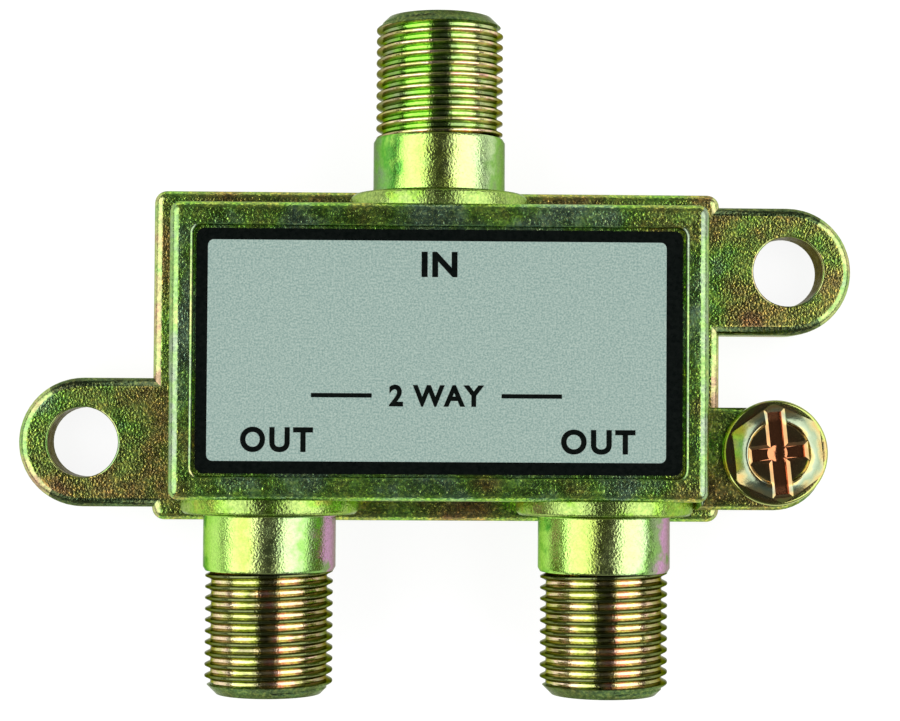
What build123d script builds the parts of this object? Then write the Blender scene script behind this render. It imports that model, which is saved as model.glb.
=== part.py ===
from build123d import *
import math
import os

# Two-way coaxial splitter lying on its back, millimetres.
# Origin at the centre of the back face, +Z out of the front label, +Y towards the input port.

# How far a cutting tool runs past the face it opens
cut_past = 0.5

# Casting: raised front frame and the recess for the label
body_length = 37.5
body_width = 20.7
body_depth = 14.0
body_draft_degrees = 1.0
body_corner = 0.9
body_edge_radius = 0.75
rim_width = 1.65
label_recess = 0.6

# Casting: back flange, wider than the frame, with the fixing ears flush on it
flange_end_margin = 2.3
flange_side_margin = 1.85
flange_thickness = 3.2
flange_corner = 0.9
flange_edge_radius = 0.75

# Casting: cavity behind the label
side_wall = 1.5
front_wall = 1.4
cavity_corner = 1.0
cover_seat_width = 1.0
cover_seat_depth = 1.0

# Fixing ears
ear_radius = 4.77
ear_hole_radius = 2.6
ear_hole_offset = 5.1
ear_inset = 0.93

# Ground lug and the wire hole across it
lug_radius = 3.7
lug_height = 8.0
lug_offset = 3.25
lug_inset = 1.1
lug_edge = 0.5
screw_offset_y = 0.45
wire_hole_radius = 1.55
wire_hole_cover = 1.65

# Threaded ports, all three alike, the outputs set in from the ends of the frame
port_inset = 6.68
boss_back_gap = 0.6
boss_setback = 0.7
boss_edge = 0.25
collar_radius = 4.77
collar_length = 4.1
collar_foot = 0.2
collar_edge = 0.3
thread_radius = 4.6
thread_length = 8.8
tip_chamfer = 0.7
port_bore_radius = 3.2
mouth_chamfer = 0.35
inner_lip = 0.9
inner_lip_radius = 2.2

# Port insulators and contacts
front_insulator_setback = 1.0
front_insulator_length = 2.3
rear_insulator_length = 3.0
insulator_clearance = 0.03
wire_entry_radius = 0.65
wire_entry_chamfer = 0.55
contact_radius = 0.95
contact_bore_radius = 0.5
contact_seat_depth = 0.8
contact_clearance = 0.05
contact_slit = 0.3
contact_slit_length = 5.0
tail_radius = 0.4

# Back cover and label
cover_thickness = 0.8
cover_edge = 0.16
cover_clearance = 0.05
label_thickness = 0.25
label_clearance = 0.2
label_corner = 0.6

# Ground screw, 6-32 with a hex washer head
screw_radius = 1.75
screw_clearance = 0.05
screw_shank_length = 6.0
screw_point_chamfer = 0.3
screw_flange_radius = 3.8
screw_flange_thickness = 0.6
screw_flange_edge = 0.2
hex_across_flats = 6.25
hex_height = 1.5
hex_corner = 0.45
hex_edge = 0.3
dish_radius = 2.4
dish_depth = 0.35
slot_length = 6.0
slot_width = 1.3
slot_depth = 0.95
cross_length = 4.3
cross_width = 1.25
cross_depth = 1.15
screw_turn_degrees = 6.0

# Circuit board on the casting's pegs
board_thickness = 1.0
board_gap = 0.2
corner_pad = 2.6
peg_radius = 0.6
peg_clearance = 0.06
notch_clearance = 0.1
notch_depth = 2.2
tail_end_gap = 0.15
solder_height = 0.6
solder_spread = 0.55
solder_sides = 8
solder_taper_degrees = 30.0

# Ferrite rings and their windings
core_radius = 2.3
core_bore_radius = 1.05
core_height = 2.0
core_spacing_share = 0.35
winding_clearance = 0.05
wire_size = 0.3
matching_turns = 6
splitting_turns = 4
turn_step_degrees = 36.0

# Chip resistor and disc capacitors
resistor_length = 3.2
resistor_width = 1.6
resistor_height = 0.6
resistor_cap_length = 0.5
resistor_cap_growth = 0.1
disc_radius = 1.7
disc_thickness = 1.0
lead_size = 0.4
lead_spacing = 2.0
lead_height = 0.7
capacitor_wall_gap = 4.25

# Heights and places worked out from the sizes above
flange_length = body_length + 2 * flange_end_margin
flange_width = body_width + 2 * flange_side_margin
port_spacing = body_length - 2 * port_inset
core_spacing = core_spacing_share * port_spacing
port_axis_height = body_depth / 2
boss_radius = port_axis_height - boss_back_gap
boss_end = flange_width / 2 - boss_setback
collar_end = boss_end + collar_length
port_tip = collar_end + thread_length
cavity_length = body_length - 2 * side_wall
cavity_width = body_width - 2 * side_wall
cavity_top = body_depth - label_recess - front_wall
cover_length = cavity_length + 2 * cover_seat_width
cover_width = cavity_width + 2 * cover_seat_width
recess_length = body_length - 2 * rim_width
recess_width = body_width - 2 * rim_width
ear_x = flange_length / 2 + ear_hole_offset
ear_y = flange_width / 2 - ear_inset - ear_radius
lug_x = flange_length / 2 + lug_offset
lug_y = lug_inset + lug_radius - flange_width / 2
screw_x = lug_x
screw_y = lug_y + screw_offset_y
wire_hole_height = lug_height - wire_hole_cover - wire_hole_radius
board_front = port_axis_height + board_thickness / 2
board_back = port_axis_height - board_thickness / 2
cavity_wall_y = cavity_width / 2
lip_end = cavity_wall_y + inner_lip
insulator_radius = port_bore_radius - insulator_clearance
front_insulator_face = port_tip - front_insulator_setback
front_insulator_back = front_insulator_face - front_insulator_length
rear_insulator_end = lip_end + rear_insulator_length
contact_tip = front_insulator_back + contact_seat_depth
board_edge_y = cavity_wall_y - board_gap
tail_end = board_edge_y - notch_depth + tail_end_gap
pad_x = cavity_length / 2 - corner_pad / 2
pad_y = cavity_width / 2 - corner_pad / 2

# Each port: its name, its place along X and its turn about Z from the input port
ports = [
    ("in", 0, 0),
    ("out_left", -port_spacing / 2, 180),
    ("out_right", port_spacing / 2, 180),
]
corners = [(sx, sy) for sx in (-1, 1) for sy in (-1, 1)]


def block(length, width, height, corner, base=0.0, taper=0.0):
    """Upright prism on a round-cornered rectangle, standing at the height base."""
    outline = Pos(0, 0, base) * RectangleRounded(length, width, corner)
    return extrude(outline, amount=height, taper=taper)


def rod(radius, start, end, x=0.0, y=0.0):
    """Upright cylinder between two heights."""
    return Pos(x, y, (start + end) / 2) * Cylinder(radius, end - start)


def port_turned(points):
    """Solid of revolution about a port's axis, from points of radius and distance along the axis."""
    profile = make_face(Polyline(*points, close=True))
    upright = revolve(Plane.XZ * profile, Axis.Z)
    return Pos(0, 0, port_axis_height) * Rot(-90, 0, 0) * upright


def at_port(shape, x, turn):
    """Copy of a port piece, moved from the input port's axis to another port."""
    return Pos(x, 0, 0) * Rot(0, 0, turn) * shape


def port_body():
    """Boss, collar and barrel of one port, solid, with its edges broken and its foot flared."""
    start = body_width / 2 - side_wall / 2
    outline = Polyline(
        (0, start),
        (boss_radius, start),
        (boss_radius, boss_end),
        (collar_radius, boss_end),
        (collar_radius, collar_end - collar_edge),
        (thread_radius, collar_end),
        (thread_radius, port_tip),
        (0, port_tip),
        close=True,
    )
    profile = make_face(outline)
    profile = chamfer(corner_at(profile, boss_radius, boss_end), boss_edge)
    profile = chamfer(corner_at(profile, collar_radius, boss_end), collar_foot)
    profile = chamfer(corner_at(profile, thread_radius, port_tip), tip_chamfer)
    upright = revolve(Plane.XZ * profile, Axis.Z)
    return Pos(0, 0, port_axis_height) * Rot(-90, 0, 0) * upright


def corner_at(sketch, x, y):
    """Corner of a sketch nearest to a point."""
    return sketch.vertices().sort_by_distance((x, y, 0))[0]


def port_bore():
    """Hollow of one port: bore, chamfered mouth and the inner lip's smaller opening."""
    return port_turned([
        (0, cavity_wall_y - cut_past),
        (inner_lip_radius, cavity_wall_y - cut_past),
        (inner_lip_radius, lip_end),
        (port_bore_radius, lip_end),
        (port_bore_radius, port_tip - mouth_chamfer),
        (port_bore_radius + mouth_chamfer, port_tip),
        (port_bore_radius + mouth_chamfer, port_tip + cut_past),
        (0, port_tip + cut_past),
    ])


def flange_plate():
    """Back flange and both ears as one plate, its front edge rounded."""
    outline = RectangleRounded(flange_length, flange_width, flange_corner)
    for side in (-1, 1):
        outline += Pos(side * ear_x / 2, side * ear_y) * Rectangle(ear_x, 2 * ear_radius)
        outline += Pos(side * ear_x, side * ear_y) * Circle(ear_radius)
    plate = extrude(outline, amount=flange_thickness)
    front_edges = plate.edges().group_by(Axis.Z)[-1]
    return fillet(front_edges, flange_edge_radius)


def raised_body():
    """Drafted block that stands on the flange, with its front edge rounded."""
    rise = body_depth - flange_thickness
    spread = 2 * rise * math.tan(math.radians(body_draft_degrees))
    foot = block(
        body_length + spread,
        body_width + spread,
        rise,
        body_corner,
        flange_thickness,
        body_draft_degrees,
    )
    front_edges = foot.edges().group_by(Axis.Z)[-1]
    shaped = fillet(front_edges, body_edge_radius)
    root = block(body_length, body_width, flange_thickness, body_corner)
    return shaped + root


def ground_lug():
    """Lug beside the flange, round-ended about the screw."""
    outline = Pos(lug_x / 2 + body_length / 4, lug_y) * Rectangle(lug_x - body_length / 2, 2 * lug_radius)
    outline += Pos(lug_x, lug_y) * Circle(lug_radius)
    lug = extrude(outline, amount=lug_height)
    front_edges = lug.edges().group_by(Axis.Z)[-1]
    return chamfer(front_edges, lug_edge)


def make_housing():
    """The casting."""
    casting = flange_plate() + raised_body() + ground_lug()
    for name, x, turn in ports:
        casting += at_port(port_body(), x, turn)
    casting -= block(
        recess_length, recess_width, 2 * label_recess, label_corner, body_depth - label_recess
    )
    depth = cavity_top + cut_past
    cavity = block(cavity_length, cavity_width, depth, cavity_corner, -cut_past)
    for sx, sy in corners:
        pad = Pos(sx * pad_x, sy * pad_y, (board_front + cavity_top) / 2) * Box(
            corner_pad, corner_pad, cavity_top - board_front
        )
        cavity -= pad
        cavity -= rod(peg_radius, board_back, board_front, sx * pad_x, sy * pad_y)
    casting -= cavity
    seat = cover_seat_depth + cut_past
    casting -= block(cover_length, cover_width, seat, cavity_corner, -cut_past)
    for name, x, turn in ports:
        casting -= at_port(port_bore(), x, turn)
    for side in (-1, 1):
        through = flange_thickness + cut_past
        casting -= rod(ear_hole_radius, -cut_past, through, side * ear_x, side * ear_y)
    tapped_radius = screw_radius + screw_clearance
    casting -= rod(tapped_radius, -cut_past, lug_height + cut_past, screw_x, screw_y)
    wire_hole = Rot(90, 0, 0) * Cylinder(wire_hole_radius, 2 * (lug_radius + cut_past))
    casting -= Pos(screw_x, lug_y, wire_hole_height) * wire_hole
    return casting


def make_back_cover():
    """Sheet plate seated in the rebate of the back."""
    back = cover_seat_depth - cover_thickness
    cover = block(
        cover_length - 2 * cover_clearance,
        cover_width - 2 * cover_clearance,
        cover_thickness,
        cavity_corner,
        back,
    )
    edges = cover.edges().group_by(Axis.Z)[0]
    return chamfer(edges, cover_edge)


def make_front_label():
    """Printed plate on the floor of the front recess."""
    return block(
        recess_length - 2 * label_clearance,
        recess_width - 2 * label_clearance,
        label_thickness,
        label_corner,
        body_depth - label_recess,
    )


def make_front_insulator():
    """Moulded disc with a funnelled wire entry and a seat for the contact."""
    seat_radius = contact_radius + contact_clearance
    return port_turned([
        (wire_entry_radius, contact_tip),
        (seat_radius, contact_tip),
        (seat_radius, front_insulator_back),
        (insulator_radius, front_insulator_back),
        (insulator_radius, front_insulator_face),
        (wire_entry_radius + wire_entry_chamfer, front_insulator_face),
        (wire_entry_radius, front_insulator_face - wire_entry_chamfer),
    ])


def make_rear_insulator():
    """Bead against the casting's inner lip that carries the contact's tail."""
    hole_radius = tail_radius + contact_clearance
    return port_turned([
        (hole_radius, lip_end),
        (insulator_radius, lip_end),
        (insulator_radius, rear_insulator_end),
        (hole_radius, rear_insulator_end),
    ])


def make_contact():
    """Spring socket split in two fingers, with a solid tail that reaches the board."""
    shoulder = rear_insulator_end + contact_clearance
    bore_end = contact_tip - contact_slit_length
    socket = port_turned([
        (0, tail_end),
        (tail_radius, tail_end),
        (tail_radius, shoulder),
        (contact_radius, shoulder),
        (contact_radius, contact_tip - contact_clearance),
        (contact_bore_radius, contact_tip - contact_clearance),
        (contact_bore_radius, bore_end),
        (0, bore_end),
    ])
    slit = Pos(0, contact_tip - contact_slit_length / 2, port_axis_height) * Box(
        contact_slit, contact_slit_length, 3 * contact_radius
    )
    return socket - slit


def screw_head():
    """Hex on a round flange, dished on top, with a slot and a shorter cross arm."""
    top = screw_flange_thickness + hex_height
    disc = rod(screw_flange_radius, 0, screw_flange_thickness)
    disc = chamfer(disc.edges().group_by(Axis.Z)[-1], screw_flange_edge)
    outline = RegularPolygon(hex_across_flats / 2, 6, major_radius=False)
    outline = fillet(outline.vertices(), hex_corner)
    prism = extrude(outline, amount=top)
    prism = chamfer(prism.edges().group_by(Axis.Z)[-1], hex_edge)
    head = disc + prism
    head -= rod(dish_radius, top - dish_depth, top + cut_past)
    head -= Pos(0, 0, top) * Box(slot_width, slot_length, 2 * slot_depth)
    head -= Pos(0, 0, top) * Box(cross_length, cross_width, 2 * cross_depth)
    return Rot(0, 0, screw_turn_degrees) * head


def make_ground_screw():
    """Screw driven home in the lug."""
    shank = rod(screw_radius, -screw_shank_length, 0)
    shank = chamfer(shank.edges().group_by(Axis.Z)[0], screw_point_chamfer)
    return Pos(screw_x, screw_y, lug_height) * (screw_head() + shank)


def make_circuit_board():
    """Board that rests on the corner pads, holed for the pegs and notched for the contact tails."""
    length = cavity_length - 2 * board_gap
    board = block(length, 2 * board_edge_y, board_thickness, cavity_corner, board_back)
    for sx, sy in corners:
        hole_radius = peg_radius + peg_clearance
        board -= rod(hole_radius, board_back - cut_past, board_front + cut_past, sx * pad_x, sy * pad_y)
    notch = Pos(0, board_edge_y, port_axis_height) * Box(
        2 * (tail_radius + notch_clearance), 2 * notch_depth, 2 * board_thickness
    )
    for name, x, turn in ports:
        board -= at_port(notch, x, turn)
    return board


def solder_bead(radius):
    """Low flat-sided bead of solder hanging from the plane z = 0."""
    foot = RegularPolygon(radius, solder_sides)
    return extrude(foot, amount=-solder_height, taper=solder_taper_degrees)


def make_contact_solder():
    """Solder under the board at the end of each contact's tail."""
    radius = tail_radius + notch_clearance + solder_spread
    bead = Pos(0, board_edge_y - notch_depth / 2, board_back) * solder_bead(radius)
    return [at_port(bead, x, turn) for name, x, turn in ports]


def make_ground_solder():
    """Solder over the end of each peg, under the board."""
    bead = solder_bead(peg_radius + solder_spread)
    return [Pos(sx * pad_x, sy * pad_y, board_back) * bead for sx, sy in corners]


def core_place(side):
    """Middle of a ferrite ring, under the board."""
    drop = core_height / 2 + winding_clearance + wire_size
    return Pos(side * core_spacing / 2, 0, board_back - drop)


def make_core(side):
    """Ferrite ring lying flat under the board."""
    ring = Cylinder(core_radius, core_height) - Cylinder(core_bore_radius, 2 * core_height)
    return core_place(side) * ring


def make_winding(side, turns):
    """Separate turns of enamelled wire, each a closed loop round the ring's section."""
    inner = core_bore_radius - winding_clearance
    outer = core_radius + winding_clearance
    opening_length = outer - inner
    opening_height = core_height + 2 * winding_clearance
    loop = Rectangle(opening_length + 2 * wire_size, opening_height + 2 * wire_size)
    loop -= Rectangle(opening_length, opening_height)
    upright = Plane(origin=((inner + outer) / 2, 0, 0), x_dir=(1, 0, 0), z_dir=(0, -1, 0))
    turn = extrude(upright * loop, amount=wire_size / 2, both=True)
    first = -turn_step_degrees * (turns - 1) / 2
    if side < 0:
        first += 180
    return [
        core_place(side) * Rot(0, 0, first + turn_step_degrees * index) * turn
        for index in range(turns)
    ]


def make_resistor():
    """Chip resistor under the board between the two outputs, with its metal end caps."""
    chip = Box(resistor_length, resistor_width, resistor_height)
    cap_height = resistor_height + resistor_cap_growth
    for side in (-1, 1):
        cap = Box(resistor_cap_length, resistor_width, cap_height)
        chip += Pos(side * (resistor_length - resistor_cap_length) / 2, 0, 0) * cap
    return Pos(0, -board_edge_y + notch_depth, board_back - cap_height / 2) * chip


def make_capacitor(x, y):
    """Coated disc on two leads under the board."""
    disc = Rot(90, 0, 0) * Cylinder(disc_radius, disc_thickness)
    capacitor = Pos(0, 0, -lead_height - disc_radius) * disc
    reach = lead_height + disc_radius
    for side in (-1, 1):
        capacitor += Pos(side * lead_spacing / 2, 0, -reach / 2) * Box(lead_size, lead_size, reach)
    return Pos(x, y, board_back) * capacitor


os.makedirs("parts", exist_ok=True)

pieces = {
    "housing": make_housing(),
    "back_cover": make_back_cover(),
    "front_label": make_front_label(),
    "ground_screw": make_ground_screw(),
    "circuit_board": make_circuit_board(),
    "contact_solder": Compound(children=make_contact_solder()),
    "ground_solder": Compound(children=make_ground_solder()),
    "matching_core": make_core(-1),
    "matching_winding": Compound(children=make_winding(-1, matching_turns)),
    "splitting_core": make_core(1),
    "splitting_winding": Compound(children=make_winding(1, splitting_turns)),
    "isolation_resistor": make_resistor(),
    "input_capacitor": make_capacitor(0, cavity_width / 2 - capacitor_wall_gap),
    "balance_capacitor": make_capacitor(cavity_length / 2 - capacitor_wall_gap, 0),
}
for name, x, turn in ports:
    pieces[name + "_front_insulator"] = at_port(make_front_insulator(), x, turn)
    pieces[name + "_rear_insulator"] = at_port(make_rear_insulator(), x, turn)
    pieces[name + "_contact"] = at_port(make_contact(), x, turn)

for name, shape in pieces.items():
    export_step(shape, "parts/" + name + ".step")
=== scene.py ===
"""Looks of a two-way coaxial splitter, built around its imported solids.

The casting, its threaded ports, the printed label and the ground screw are modelled here
over the solids that they stand for. Every other solid keeps its shape and gets a finish.
All sizes are in metres, in the frame of the solids: +Z out of the label, +Y to the input port.
"""

import logging
import math
from contextlib import contextmanager
from dataclasses import dataclass, field
from enum import Enum
from functools import cached_property
from typing import Callable, Iterator, Mapping, Sequence

import bpy
from mathutils import Matrix, Vector


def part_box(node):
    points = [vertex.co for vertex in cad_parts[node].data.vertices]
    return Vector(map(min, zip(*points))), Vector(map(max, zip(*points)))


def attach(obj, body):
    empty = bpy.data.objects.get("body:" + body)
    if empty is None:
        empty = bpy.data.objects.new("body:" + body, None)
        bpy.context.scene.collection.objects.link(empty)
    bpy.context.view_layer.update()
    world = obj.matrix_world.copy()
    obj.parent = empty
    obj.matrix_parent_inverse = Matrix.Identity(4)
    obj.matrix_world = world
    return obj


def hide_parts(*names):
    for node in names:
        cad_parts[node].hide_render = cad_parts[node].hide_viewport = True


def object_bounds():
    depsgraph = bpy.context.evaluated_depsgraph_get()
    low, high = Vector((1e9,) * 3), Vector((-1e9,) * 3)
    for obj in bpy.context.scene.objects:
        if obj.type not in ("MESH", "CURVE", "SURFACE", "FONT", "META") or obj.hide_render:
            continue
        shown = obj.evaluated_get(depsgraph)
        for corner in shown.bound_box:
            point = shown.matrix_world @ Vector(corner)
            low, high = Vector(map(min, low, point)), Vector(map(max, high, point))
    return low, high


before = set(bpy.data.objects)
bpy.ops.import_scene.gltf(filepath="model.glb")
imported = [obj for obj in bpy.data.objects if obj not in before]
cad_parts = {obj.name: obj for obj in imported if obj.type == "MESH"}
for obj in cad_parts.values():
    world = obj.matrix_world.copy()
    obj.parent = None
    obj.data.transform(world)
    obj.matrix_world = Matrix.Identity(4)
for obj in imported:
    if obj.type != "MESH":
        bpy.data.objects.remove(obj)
SOLID_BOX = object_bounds()

MM = 0.001
INCH = 25.4 * MM
CASING = "casing"
SCREW = "screw"
log = logging.getLogger("coaxial_splitter")

Object = bpy.types.Object
Node = bpy.types.Node
Socket = bpy.types.NodeSocket
Material = bpy.types.Material
Colour = tuple[float, float, float]
Stop = tuple[float, Colour]
Point = tuple[float, float]

# How near two vertices are merged, and how near two heights or radii count as the same
MERGE = 0.001 * MM
TOUCH = 0.01 * MM
# How squarely a face looks along an axis to count as its end face, and how little a wall's does
FACING = 0.9
SKEW = 0.1
# Faces that turn by less than this are made one
FLAT = math.radians(0.5)
# How far the noises of flecks, wear and relief are moved, so that they don't coincide
FLECK_SHIFT = 0.013
WORN_SHIFT = 0.031
RELIEF_SHIFT = 0.007
# The part of a noise's range that wear and mottling use, and the part that drifting hues use
WORN_RANGE = (0.35, 0.65)
DRIFT_RANGE = (0.3, 0.7)


class Axis(Enum):
    """A direction that shapes are wound or turned about, as a unit vector."""

    Y = (0.0, 1.0, 0.0)
    Z = (0.0, 0.0, 1.0)


class Cut(Enum):
    """What a boolean does with the tool's volume."""

    TAKE_AWAY = "DIFFERENCE"
    ADD = "UNION"
    KEEP_COMMON = "INTERSECT"


class Keep(Enum):
    """Which side of a cutting plane stays."""

    BEHIND = "behind"
    AHEAD = "ahead"


class Pick(Enum):
    """What of a mesh is selected when it opens for editing."""

    ALL = "SELECT"
    NONE = "DESELECT"
    AS_IS = "KEEP"


class Maths(Enum):
    """What is done with two numbers."""

    ADD = "ADD"
    SUBTRACT = "SUBTRACT"
    MULTIPLY = "MULTIPLY"
    POWER = "POWER"
    LARGER = "MAXIMUM"


class Mix(Enum):
    """How two colours are mixed."""

    BLEND = "MIX"
    MULTIPLY = "MULTIPLY"


def only(obj: Object) -> None:
    """Make an object the only selected one, and the active one.

    Args:
        obj: The object to select.
    """
    bpy.ops.object.select_all(action="DESELECT")
    obj.select_set(True)
    bpy.context.view_layer.objects.active = obj


@contextmanager
def editing(obj: Object, pick: Pick = Pick.ALL) -> Iterator[None]:
    """Open an object's mesh in edit mode for the length of a block.

    Args:
        obj: The object to edit.
        pick: What of it is selected.
    """
    only(obj)
    bpy.ops.object.mode_set(mode="EDIT")
    if pick is not Pick.AS_IS:
        bpy.ops.mesh.select_all(action=pick.value)
    yield
    bpy.ops.object.mode_set(mode="OBJECT")


def settle(obj: Object, name: str) -> Object:
    """Name an object and move its place into its mesh.

    Args:
        obj: The object as modelled.
        name: Its new name.

    Returns:
        The same object, at the origin, unturned and unscaled.
    """
    only(obj)
    obj.name = name
    obj.data.name = name
    bpy.ops.object.transform_apply(location=True, rotation=True, scale=True)
    return obj


def primitive(add: Callable, name: str, **settings: object) -> Object:
    """Add a plain shape, its place moved into its mesh.

    Args:
        add: The operator that adds it.
        name: Its name.
        settings: The operator's settings by name.

    Returns:
        The shape.
    """
    bpy.ops.object.select_all(action="DESELECT")
    add(**settings)
    return settle(bpy.context.object, name)


def block(low: Sequence[float], high: Sequence[float], name: str) -> Object:
    """Make a plain block between two corners.

    Args:
        low: The lowest corner.
        high: The highest corner.
        name: Its name.

    Returns:
        The block.
    """
    low, high = Vector(low), Vector(high)
    cube = bpy.ops.mesh.primitive_cube_add
    return primitive(cube, name, size=1.0, location=(low + high) / 2, scale=high - low)


def select_faces(obj: Object, rule: Callable[[Vector, Vector], bool]) -> None:
    """Select the faces that a rule picks and nothing else.

    Args:
        obj: The object whose faces are tried.
        rule: Takes a face's centre and normal and says whether it is picked.
    """
    with editing(obj, Pick.NONE):
        bpy.ops.mesh.select_mode(type="FACE")
    for polygon in obj.data.polygons:
        polygon.select = rule(polygon.center, polygon.normal)


def bevel_edges(obj: Object, rule: Callable[[Vector, Vector], bool], width: float, segments: int) -> None:
    """Round the edges that a rule picks.

    Args:
        obj: The object whose edges are tried.
        rule: Takes an edge's two ends and says whether it is picked.
        width: How far the rounding reaches from the edge.
        segments: How many faces it has across.
    """
    with editing(obj, Pick.NONE):
        bpy.ops.mesh.select_mode(type="EDGE")
    for edge in obj.data.edges:
        edge.select = rule(*(obj.data.vertices[index].co for index in edge.vertices))
    with editing(obj, Pick.AS_IS):
        bpy.ops.mesh.bevel(offset=width, segments=segments, affect="EDGES")


def upright(start: Vector, end: Vector) -> bool:
    """Say whether an edge climbs from one height to another."""
    return abs(start.z - end.z) > TOUCH


def with_modifier(obj: Object, kind: str, **settings: object) -> None:
    """Add a modifier to an object and apply it.

    Args:
        obj: The object to change.
        kind: The modifier's type.
        settings: Its settings by name.
    """
    only(obj)
    modifier = obj.modifiers.new(kind.title(), kind)
    for key, value in settings.items():
        setattr(modifier, key, value)
    bpy.ops.object.modifier_apply(modifier=modifier.name)


def combine(obj: Object, tool: Object, cut: Cut) -> None:
    """Cut one closed mesh with another, or join them, and delete the tool."""
    with_modifier(obj, "BOOLEAN", object=tool, operation=cut.value, solver="EXACT")
    bpy.data.objects.remove(tool)


def joined(pieces: Sequence[Object], name: str) -> Object:
    """Join objects into the first of them.

    Args:
        pieces: The objects to join.
        name: The name of the result.

    Returns:
        The joined object.
    """
    only(pieces[0])
    for piece in pieces:
        piece.select_set(True)
    bpy.ops.object.join()
    pieces[0].name = name
    return pieces[0]


def copied(obj: Object, place: Matrix) -> Object:
    """Copy an object with a mesh of its own, its place moved into the mesh.

    Args:
        obj: The object to copy.
        place: Where the copy goes.

    Returns:
        The copy.
    """
    twin = obj.copy()
    twin.data = obj.data.copy()
    bpy.context.scene.collection.objects.link(twin)
    twin.matrix_world = place
    return settle(twin, obj.name + "_copy")


def solid_copy(node: str, name: str) -> Object:
    """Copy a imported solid's mesh, with its loose triangles merged and flat faces made whole.

    Args:
        node: The solid's node.
        name: The name of the copy.

    Returns:
        The copy, with no parent and no finish.
    """
    twin = bpy.data.objects.new(name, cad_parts[node].data.copy())
    bpy.context.scene.collection.objects.link(twin)
    twin.data.materials.clear()
    with editing(twin):
        bpy.ops.mesh.remove_doubles(threshold=MERGE)
        bpy.ops.mesh.customdata_custom_splitnormals_clear()
        bpy.ops.mesh.dissolve_limited(angle_limit=FLAT)
    return twin


def mend(obj: Object) -> None:
    """Merge an object's doubled vertices and dissolve its slivers.

    Args:
        obj: The object to mend.
    """
    with editing(obj):
        bpy.ops.mesh.remove_doubles(threshold=2 * MERGE)
        bpy.ops.mesh.dissolve_degenerate(threshold=2 * MERGE)


def cut_off(obj: Object, at: Vector, normal: Vector, keep: Keep) -> None:
    """Cut a closed mesh with a plane and close the cut.

    Args:
        obj: The object to cut.
        at: A point of the plane.
        normal: The plane's normal.
        keep: Whether what lies behind the plane or ahead of it stays.
    """
    with editing(obj):
        bpy.ops.mesh.bisect(
            plane_co=at, plane_no=normal, use_fill=True, clear_outer=keep is Keep.BEHIND,
            clear_inner=keep is Keep.AHEAD, threshold=MERGE / 10,
        )


def edge_chain(points: Sequence[Vector]) -> Object:
    """Draw an open chain of edges, one vertex pulled out of the other.

    Args:
        points: The chain's vertices in order.

    Returns:
        The chain as an object at the origin.
    """
    chain = primitive(bpy.ops.mesh.primitive_plane_add, "chain", size=MM)
    with editing(chain):
        bpy.ops.mesh.select_mode(type="VERT")
        bpy.ops.mesh.merge(type="CENTER")
        bpy.ops.transform.translate(value=points[0])
        for start, end in zip(points, points[1:]):
            bpy.ops.mesh.extrude_vertices_move(TRANSFORM_OT_translate={"value": end - start})
    return chain


def smooth(obj: Object, degrees: float) -> None:
    """Shade an object smooth across its blunt edges, its large faces kept flat.

    Args:
        obj: The object to shade.
        degrees: The angle past which an edge stays sharp.
    """
    only(obj)
    bpy.ops.object.shade_smooth_by_angle(angle=math.radians(degrees))
    with_modifier(obj, "WEIGHTED_NORMAL", keep_sharp=True, weight=60)


def finished(piece: Object, body: str, node: str) -> Object:
    """Put a piece on its body, and let it stand for the solid that it covers.

    Args:
        piece: The finished piece.
        body: The body that it rides on.
        node: The solid that it stands for.

    Returns:
        The same piece.
    """
    settle(piece, piece.name)
    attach(piece, body)
    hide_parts(node)
    return piece


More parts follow.
